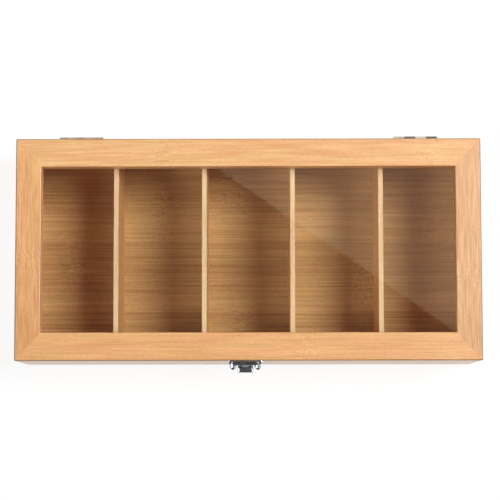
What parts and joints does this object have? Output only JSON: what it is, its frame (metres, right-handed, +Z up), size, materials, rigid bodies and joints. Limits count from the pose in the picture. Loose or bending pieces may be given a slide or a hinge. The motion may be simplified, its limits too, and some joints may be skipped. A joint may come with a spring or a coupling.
{
  "type": "tea bag organizer box",
  "caption": "Long, low bamboo box with equal compartments for tea bags, and a hinged frame lid with a clear pane and a metal hasp at the front.",
  "frame": {"origin": "middle of the underside of the bottom board, on the surface that the box stands on", "axes": "+X to the right along the long side, +Y from the hasp at the front to the hinges at the back, +Z up"},
  "size_m": [0.36, 0.184, 0.09],
  "materials": {
    "bamboo_lid": "satin lacquer on side-pressed bamboo",
    "bamboo_wall": "satin lacquer on side-pressed bamboo",
    "bamboo_divider": "sanded bamboo",
    "bamboo_floor": "sanded bamboo with close grain",
    "clear_pane": "clear cast acrylic",
    "hinge_steel": "dark nickel plated",
    "hasp_chrome": "bright chrome plated"
  },
  "bodies": {
    "box": {"front_wall": "bamboo_wall", "back_wall": "bamboo_wall", "left_wall": "bamboo_wall", "right_wall": "bamboo_wall", "bottom_board": "bamboo_floor", "divider_1": "bamboo_divider", "divider_2": "bamboo_divider", "divider_3": "bamboo_divider", "divider_4": "bamboo_divider", "left_hinge_body_leaf": "hinge_steel", "right_hinge_body_leaf": "hinge_steel", "left_hinge_pin": "hinge_steel", "right_hinge_pin": "hinge_steel", "hinge_body_screws": "hinge_steel", "catch_plate": "hasp_chrome", "catch_screws": "hasp_chrome"},
    "lid": {"lid_front_rail": "bamboo_lid", "lid_rear_rail": "bamboo_lid", "lid_left_stile": "bamboo_lid", "lid_right_stile": "bamboo_lid", "window_pane": "clear_pane", "left_hinge_lid_leaf": "hinge_steel", "right_hinge_lid_leaf": "hinge_steel", "hinge_lid_screws": "hinge_steel", "hasp_plate": "hasp_chrome", "hasp_plate_screws": "hasp_chrome", "hasp_pin": "hasp_chrome"},
    "hasp": {"hasp_flap": "hasp_chrome"}
  },
  "joints": [
    {"name": "lid_hinge", "type": "hinge", "parent": "box", "child": "lid", "pos_m": [0, 0.08795, 0.076], "axis": [-1, 0, 0], "range_deg": [0, 180]},
    {"name": "hasp_pivot", "type": "hinge", "parent": "lid", "child": "hasp", "pos_m": [-0.0025, -0.08785, 0.0793], "axis": [-1, 0, 0], "range_deg": [0, 150]}
  ]
}
